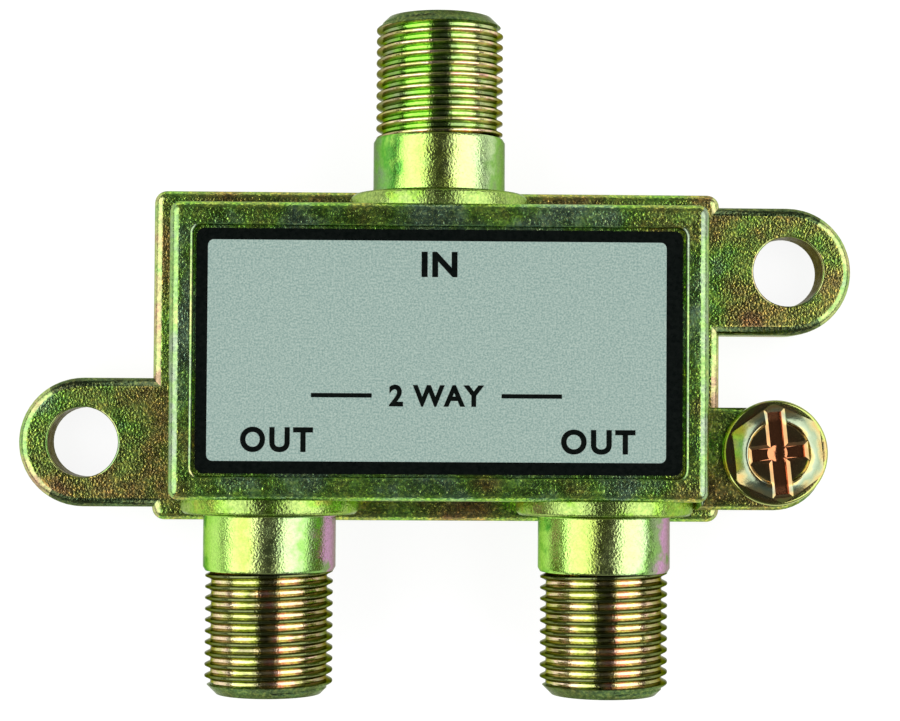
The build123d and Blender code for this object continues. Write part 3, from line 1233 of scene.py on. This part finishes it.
    def on_boss(self, centre: Vector, normal: Vector) -> bool:
        """Say whether a face is on the boss that carries a port's collar."""
        return self.on_port(centre, normal) and abs(centre.y) < self.boss_end

    def on_thread(self, centre: Vector, normal: Vector) -> bool:
        """Say whether a face is on a port's thread."""
        return abs(centre.y) > self.port.start - MERGE

    def in_ear_hole(self, centre: Vector, normal: Vector) -> bool:
        """Say whether a face is on the wall of an ear hole, which gets a dark painted shade."""
        return abs(normal.z) < SKEW and self.off_ear_hole(centre) < self.hole_margin

    def on_rounding(self, normal: Vector) -> bool:
        """Say whether a face with this normal belongs to a rounded edge."""
        return self.rounding[0] < normal.z < self.rounding[1]

    def on_painted_highlight_edge(self, centre: Vector, normal: Vector) -> bool:
        """Say whether a face is on a rounding that looks sideways, towards the lamps, where lighter hues and
        brighter flecks paint a highlight.

        Args:
            centre: The face's centre.
            normal: Its normal.

        Returns:
            Whether it is.
        """
        sideways = abs(normal.x) > self.lamp_side_ratio * abs(normal.y)
        on_body = abs(centre.y) < self.boss_from + self.rounding_reach
        return self.on_rounding(normal) and sideways and on_body and not self.on_port(centre, normal)

    def on_painted_shade_edge(self, centre: Vector, normal: Vector) -> bool:
        """Say whether a face is on a barrel's tip, or on an ear's rounding that looks along Y; both get a
        dark painted shade.

        Args:
            centre: The face's centre.
            normal: Its normal.

        Returns:
            Whether it is.
        """
        on_tip = self.port.tip - abs(centre.y) < self.port.tip_chamfer
        on_ear = abs(centre.x) > self.flange_end and centre.z < self.ear_height
        along = abs(normal.x) < self.lamp_side_ratio * abs(normal.y)
        outside = self.off_ear_hole(centre) > 2 * self.hole_edge
        return on_tip or (on_ear and self.on_rounding(normal) and along and outside)


@dataclass
class GroundScrew:
    """The ground screw: a hex head on a round flange, rimmed, dished and slotted, on a thread."""

    name: str = "ground_screw_plated"
    seat: float = 8.0 * MM
    flange_radius: float = 3.8 * MM
    flange_height: float = 0.6 * MM
    flange_round: float = 0.24 * MM
    round_steps: int = 5
    across_flats: float = 6.25 * MM
    head_height: float = 2.1 * MM
    corner_round: float = 0.3 * MM
    corner_steps: int = 4
    rim_outer: float = 3.06 * MM
    rim_inner: float = 2.34 * MM
    rim_drop: float = 0.34 * MM
    rim_power: float = 1.35
    rim_shares: tuple[float, ...] = (1.0, 0.8, 0.6, 0.4, 0.2, 0.08, 0.0)
    dish_depth: float = 0.42 * MM
    # Points of the rim's inner lip, inwards from the rim and down from its top
    lip: tuple[Point, ...] = (
        (0.07 * MM, 0.04 * MM), (0.12 * MM, 0.1 * MM), (0.18 * MM, 0.37 * MM), (0.23 * MM, 0.42 * MM),
    )
    crown_drop: float = 0.42 * MM
    slot: tuple[float, float, float] = (0.9 * MM, 5.8 * MM, 0.95 * MM)
    cross: tuple[float, float, float] = (3.7 * MM, 0.75 * MM, 0.9 * MM)
    arm_flare: float = 0.1 * MM
    lip_flare: float = 0.5 * MM
    lip_depth: float = 0.11 * MM
    dimple_radius: float = 0.72 * MM
    dimple_depth: float = 0.29 * MM
    turn_degrees: float = 6.0
    crest: float = 1.75 * MM
    root: float = 1.42 * MM
    overlap: float = 0.1 * MM
    sides: int = 96
    thread_sides: int = 48
    head_sharp: float = 20.0
    thread_sharp: float = 42.0

    @property
    def top(self) -> float:
        """The height of the head's top."""
        return self.seat + self.head_height

    def build(self) -> Object:
        """Model the screw.

        Returns:
            The finished piece on the screw's body.
        """
        low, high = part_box("ground_screw")
        centre = (low + high) / 2
        head = self.flange()
        combine(head, self.hexagon(), Cut.ADD)
        for tool in (self.recess(self.slot), self.recess(self.cross), self.dimple()):
            combine(head, tool, Cut.TAKE_AWAY)
        end = self.seat + self.overlap
        shank = Thread(self.crest, self.root, low.z, end, steps=self.thread_sides).build()
        stand = Matrix.Translation((centre.x, centre.y, 0.0))
        turned = copied(head, stand @ Matrix.Rotation(math.radians(self.turn_degrees), 4, "Z"))
        threaded = copied(shank, stand @ Matrix.Rotation(math.pi / 2, 4, "X"))
        for draft in (head, shank):
            bpy.data.objects.remove(draft)
        smooth(turned, self.head_sharp)
        smooth(threaded, self.thread_sharp)
        screw = joined((turned, threaded), self.name)
        plating = ScrewPlating((centre.x, centre.y), self.seat, self.top - self.dish_depth)
        screw.data.materials.append(plating.build())
        return finished(screw, SCREW, "ground_screw")

    def turned(self, profile: Sequence[Point], name: str) -> Object:
        """Turn a profile about the Z axis into a closed shape.

        Args:
            profile: Points of radius and height, from the axis round to the axis.
            name: The name of the shape.

        Returns:
            The shape.
        """
        shape = edge_chain([Vector((radius, 0.0, height)) for radius, height in profile])
        with editing(shape):
            bpy.ops.mesh.spin(
                steps=self.sides, angle=2 * math.pi, center=(0.0, 0.0, 0.0), axis=Axis.Z.value,
            )
            bpy.ops.mesh.select_all(action="SELECT")
            bpy.ops.mesh.remove_doubles(threshold=MERGE)
            bpy.ops.mesh.normals_make_consistent(inside=False)
        shape.name = name
        return shape

    def flange(self) -> Object:
        """Turn the round flange under the head, its edge rounded.

        Returns:
            The flange.
        """
        rise = self.seat + self.flange_height - self.flange_round
        turns = [math.radians(90.0 * step / self.round_steps) for step in range(self.round_steps + 1)]
        rounding = [
            (self.flange_radius - self.flange_round * (1 - math.cos(turn)),
             rise + self.flange_round * math.sin(turn))
            for turn in turns
        ]
        foot = ((0.0, self.seat), (self.flange_radius, self.seat))
        return self.turned([*foot, *rounding, (0.0, self.seat + self.flange_height)], "flange")

    def hexagon(self) -> Object:
        """Model the hexagon, cut by a turned crown with a rounded rim and a dished middle.

        Returns:
            The hexagon.
        """
        height = self.head_height - self.overlap
        prism = primitive(
            bpy.ops.mesh.primitive_cylinder_add, "hexagon", vertices=6, depth=height,
            radius=self.across_flats / math.sqrt(3.0), location=(0.0, 0.0, self.top - height / 2),
        )
        bevel_edges(prism, upright, self.corner_round, self.corner_steps)
        foot = self.seat - self.overlap
        crown = [
            (0.0, foot),
            (self.flange_radius, foot),
            (self.flange_radius, self.top - self.rim_drop - self.crown_drop),
            *self.rim(),
            (0.0, self.top - self.dish_depth),
        ]
        combine(prism, self.turned(crown, "crown"), Cut.KEEP_COMMON)
        return prism

    def rim(self) -> list[Point]:
        """Give the outline of the sloping rim, from its outer edge up to its top and into the dish.

        Returns:
            The points of radius and height.
        """
        width = self.rim_outer - self.rim_inner
        slope = [
            (self.rim_inner + width * share, self.top - self.rim_drop * share**self.rim_power)
            for share in self.rim_shares
        ]
        return slope + [(self.rim_inner - inwards, self.top - down) for inwards, down in self.lip]

    def recess(self, size: tuple[float, float, float]) -> Object:
        """Make the tool for one arm of the drive recess, with a flared lip at the dish's floor.

        Args:
            size: The arm's width along X and Y at its floor, and its depth.

        Returns:
            The tool.
        """
        width, length, depth = size
        dish = self.top - self.dish_depth
        wide = self.arm_flare + self.lip_flare
        steps = ((dish - self.lip_depth, self.arm_flare), (dish, wide), (self.top + self.overlap, wide))
        height, grown = self.top - depth, 0.0
        half = (width / 2, length / 2)
        tool = block((-half[0], -half[1], height - self.overlap), (*half, height), "recess")
        tool.location.z = self.overlap
        settle(tool, "recess")
        select_faces(tool, lambda centre, normal: normal.z > FACING)
        height += self.overlap
        with editing(tool, Pick.AS_IS):
            for level, growth in steps:
                bpy.ops.mesh.extrude_region_move(
                    TRANSFORM_OT_translate={"value": (0.0, 0.0, level - height)}
                )
                along = (length + growth) / (length + grown)
                across = (width + growth) / (width + grown)
                bpy.ops.transform.resize(value=(across, along, 1.0))
                height, grown = level, growth
        return tool

    def dimple(self) -> Object:
        """Make the tool for the cone in the middle of the recess.

        Returns:
            The tool.
        """
        point = self.top - self.cross[2] - self.dimple_depth
        rise = 2 * self.dimple_depth
        return primitive(
            bpy.ops.mesh.primitive_cone_add, "dimple", vertices=self.sides // 2, radius1=0.0,
            radius2=2 * self.dimple_radius, depth=rise, location=(0.0, 0.0, point + rise / 2),
        )


@dataclass
class Word:
    """A generic word printed on the label, fitted between two corners."""

    text: str
    low: Point
    high: Point
    spacing: float


@dataclass
class Label:
    """The printed plate: a black border, a grey field and generic words."""

    name: str = "printed_label"
    field_low: Point = (-16.1 * MM, -7.63 * MM)
    field_high: Point = (15.75 * MM, 7.7 * MM)
    field_corner: float = 0.4 * MM
    corner_steps: int = 5
    print_height: float = 0.012 * MM
    stroke: float = 0.035
    words: tuple[Word, ...] = (
        Word("IN", (-1.30 * MM, 5.19 * MM), (1.19 * MM, 6.95 * MM), 1.1),
        Word("OUT", (-13.77 * MM, -7.01 * MM), (-8.74 * MM, -5.26 * MM), 1.2),
        Word("OUT", (8.45 * MM, -7.06 * MM), (13.62 * MM, -5.33 * MM), 1.2),
        Word("2 WAY", (-3.5 * MM, -3.81 * MM), (3.1 * MM, -2.29 * MM), 1.12),
    )
    rule_length: float = 4.2 * MM
    rule_thickness: float = 0.3 * MM
    rule_gap: float = 1.2 * MM

    def build(self) -> Object:
        """Model the label.

        Returns:
            The finished piece on the casting's body.
        """
        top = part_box("front_label")[1].z
        plate = solid_copy("front_label", "plate")
        for finish in (PRINT_BLACK, FIELD_GREY):
            plate.data.materials.append(finish.build())
        black, grey = plate.data.materials
        sheet = self.grey_field(top)
        sheet.data.materials.append(grey)
        marks = [self.word(word, top) for word in self.words]
        marks += [self.rule(side, top) for side in (-1.0, 1.0)]
        for mark in marks:
            mark.data.materials.clear()
            mark.data.materials.append(black)
        label = joined([plate, sheet, *marks], self.name)
        return finished(label, CASING, "front_label")

    def grey_field(self, top: float) -> Object:
        """Model the grey field inside the border, its corners rounded.

        Args:
            top: The height of the label's face.

        Returns:
            The field.
        """
        low = (*self.field_low, top - self.print_height)
        sheet = block(low, (*self.field_high, top + self.print_height), "field")
        bevel_edges(sheet, upright, self.field_corner, self.corner_steps)
        return sheet

    def word(self, word: Word, top: float) -> Object:
        """Print one word, its strokes thickened, between its corners.

        Args:
            word: The word and its corners.
            top: The height of the label's face.

        Returns:
            The word as a mesh.
        """
        bpy.ops.object.select_all(action="DESELECT")
        bpy.ops.object.text_add()
        text = bpy.context.object
        text.data.body = word.text
        text.data.size = 1.0
        text.data.space_character = word.spacing
        text.data.offset = self.stroke
        text.data.extrude = 1.0
        only(text)
        bpy.ops.object.convert(target="MESH")
        sides = [sorted(vertex.co[part] for vertex in text.data.vertices) for part in (0, 1)]
        spans = zip(sides, word.low, word.high)
        scales = [(high - low) / (side[-1] - side[0]) for side, low, high in spans]
        text.scale = (*scales, self.print_height)
        starts = [low - side[0] * scale for low, side, scale in zip(word.low, sides, scales)]
        text.location = (*starts, top + self.print_height)
        settle(text, "word_" + word.text.replace(" ", "_"))
        with editing(text):
            bpy.ops.mesh.remove_doubles(threshold=MERGE / 2)
            bpy.ops.mesh.normals_make_consistent(inside=False)
        return text

    def rule(self, side: float, top: float) -> Object:
        """Print one of the short rules beside the middle word.

        Args:
            side: 1 for the right-hand rule, -1 for the left-hand one.
            top: The height of the label's face.

        Returns:
            The rule as a mesh.
        """
        word = self.words[-1]
        edge = word.high[0] if side > 0 else word.low[0]
        near, far = sorted(edge + side * reach for reach in (self.rule_gap, self.rule_gap + self.rule_length))
        middle, half = (word.low[1] + word.high[1]) / 2, self.rule_thickness / 2
        high = (far, middle + half, top + 2 * self.print_height)
        rule = block((near, middle - half, top), high, "rule")
        with editing(rule):
            bpy.ops.mesh.bevel(offset=self.print_height / 3, segments=1, affect="EDGES")
        return rule


def dress_solids() -> None:
    """Give every solid that is shown as packed its finish, with one material for each finish."""
    made: dict[str, Material] = {}
    for name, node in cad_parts.items():
        if node.hide_render:
            continue
        finish = next(finish for ending, finish in SOLID_FINISHES.items() if name.endswith(ending))
        if finish.name not in made:
            made[finish.name] = finish.build()
        if not node.material_slots:
            node.data.materials.append(None)
        for place in node.material_slots:
            place.material = made[finish.name]
        log.info("%s: %s", name, finish.name)


@dataclass
class Studio:
    """White floor, two large softboxes, dark cards that only reflections see, and the camera.

    The angles of lights and cards are in degrees from straight above the object.
    """

    camera_place: tuple[float, float, float] = (-2.841 * MM, -4.779 * MM, 163.16 * MM)
    camera_target: tuple[float, float, float] = (0.868 * MM, -0.406 * MM, 7.0 * MM)
    camera_roll: float = 0.006
    camera_range: Point = (0.01, 10.0)
    focal_pixels: float = 2157.5
    picture_width: int = 900
    sensor: float = 36.0
    distance: float = 0.5
    light_near: float = 21.5
    light_far: float = 75.0
    light_length: float = 0.84
    light_radiance: float = 1.74
    surround: float = 0.36
    top_card_height: float = 0.6
    side_card_place: float = 0.65
    card_length: float = 3.0
    card_far: float = 81.0
    card_grey: float = 0.045
    end_card_grey: float = 0.18
    floor_size: float = 6.0
    floor_gap: float = 0.05 * MM
    floor_glow: float = 0.88
    floor_grey: float = 0.2

    def build(self) -> None:
        """Set up the camera, the world, the lights, the cards and the floor."""
        self.camera()
        self.world()
        for side in (-1.0, 1.0):
            self.softbox(side)
        self.floor()
        self.cards()
        bpy.context.scene.view_settings.view_transform = "Standard"

    def camera(self) -> None:
        """Place the camera at the photograph's angle."""
        data = bpy.data.cameras.new("camera")
        data.sensor_width = self.sensor
        data.lens = self.focal_pixels * self.sensor / self.picture_width
        data.clip_start, data.clip_end = self.camera_range
        camera = bpy.data.objects.new("camera", data)
        bpy.context.scene.collection.objects.link(camera)
        place, target = Vector(self.camera_place), Vector(self.camera_target)
        ahead = (target - place).normalized()
        level = ahead.cross(Vector(Axis.Y.value)).normalized()
        over = level.cross(ahead)
        right = level * math.cos(self.camera_roll) + over * math.sin(self.camera_roll)
        turn = Matrix((right, right.cross(ahead), -ahead)).transposed()
        camera.matrix_world = Matrix.Translation(place) @ turn.to_4x4()
        bpy.context.scene.camera = camera

    def world(self) -> None:
        """Light the scene evenly from all round."""
        world = bpy.data.worlds.new("surround")
        world.use_nodes = True
        background = world.node_tree.nodes["Background"]
        background.inputs["Color"].default_value = (1.0, 1.0, 1.0, 1.0)
        background.inputs["Strength"].default_value = self.surround
        bpy.context.scene.world = world

    def softbox(self, side: float) -> None:
        """Hang one large light beside the object.

        Args:
            side: 1 for the right-hand light, -1 for the left-hand one.
        """
        middle = math.radians((self.light_near + self.light_far) / 2)
        half = math.radians((self.light_far - self.light_near) / 2)
        data = bpy.data.lights.new("softbox", "AREA")
        data.shape = "RECTANGLE"
        data.size = 2 * self.distance * math.tan(half)
        data.size_y = self.light_length
        data.energy = self.light_radiance * math.pi * data.size * data.size_y
        lamp = bpy.data.objects.new("softbox", data)
        bpy.context.scene.collection.objects.link(lamp)
        lamp.location = (side * self.distance * math.sin(middle), 0.0, self.distance * math.cos(middle))
        lamp.rotation_euler = (0.0, side * middle, 0.0)
        lamp.visible_camera = False

    def floor(self) -> None:
        """Lay a white floor that keeps a soft shadow and can't be seen from below."""
        place = (0.0, 0.0, SOLID_BOX[0].z - self.floor_gap)
        plane = bpy.ops.mesh.primitive_plane_add
        floor = primitive(plane, "floor", size=self.floor_size, location=place)
        graph = Graph("floor", bare=True)
        ray = graph.node("ShaderNodeLightPath").outputs
        seen = graph.work_out(ray["Is Camera Ray"], ray["Is Glossy Ray"], Maths.LARGER)
        seen = graph.work_out(seen, ray["Is Transmission Ray"], Maths.LARGER)
        strength = graph.work_out(seen, self.floor_glow, Maths.MULTIPLY)
        paint = graph.node("ShaderNodeBsdfDiffuse", {"Color": [self.floor_grey] * 3})
        glow = graph.node("ShaderNodeEmission", {"Strength": strength})
        white = graph.node("ShaderNodeAddShader", {0: paint.outputs[0], 1: glow.outputs[0]})
        clear = graph.node("ShaderNodeBsdfTransparent")
        below = graph.node("ShaderNodeNewGeometry").outputs["Backfacing"]
        choice = graph.node("ShaderNodeMixShader", {0: below, 1: white.outputs[0], 2: clear.outputs[0]})
        floor.data.materials.append(graph.end(choice.outputs[0]))

    def cards(self) -> None:
        """Hang dark cards overhead, in front, behind and low beside the lights."""
        greys = {"card": self.card_grey, "end_card": self.end_card_grey}
        dark, dim = (self.glow(name, grey) for name, grey in greys.items())
        width = 2 * self.top_card_height * math.tan(math.radians(self.light_near))
        self.card((0.0, 0.0, self.top_card_height), (width, self.card_length), (0.0, 0.0, 0.0), dark)
        far = self.side_card_place
        top, foot = (far / math.tan(math.radians(angle)) for angle in (self.light_far, self.card_far))
        on_edge, on_end = (0.0, math.pi / 2, 0.0), (math.pi / 2, 0.0, 0.0)
        for side in (1.0, -1.0):
            self.card((0.0, side * far, far / 2), (self.card_length, far), on_end, dim)
            place = (side * far, 0.0, (top + foot) / 2)
            self.card(place, (top - foot, self.card_length), on_edge, dark)

    def glow(self, name: str, grey: float) -> Material:
        """Make an even glow of the given brightness for a card."""
        graph = Graph(name, bare=True)
        return graph.end(graph.node("ShaderNodeEmission", {"Strength": grey}).outputs[0])

    def card(self, place: Sequence[float], size: Point, turn: Sequence[float], material: Material) -> None:
        """Hang one card that only reflections see.

        Args:
            place: Its middle.
            size: Its two sides.
            turn: Its turn about each axis.
            material: Its glow.
        """
        card = primitive(bpy.ops.mesh.primitive_plane_add, "card", size=1.0)
        card.scale = (*size, 1.0)
        card.rotation_euler = turn
        card.location = place
        settle(card, "card")
        card.data.materials.append(material)
        for ray in ("camera", "diffuse", "shadow", "transmission"):
            setattr(card, "visible_" + ray, False)


def main() -> None:
    """Build and report the pieces, dress the other solids and light them all."""
    logging.basicConfig(level=logging.INFO, format="%(name)s %(message)s")
    for part in (Casting(), GroundScrew(), Label()):
        piece = part.build()
        piece.data.calc_loop_triangles()
        log.info("%s: %d triangles", piece.name, len(piece.data.loop_triangles))
    dress_solids()
    Studio().build()


if __name__ == "__main__":
    main()
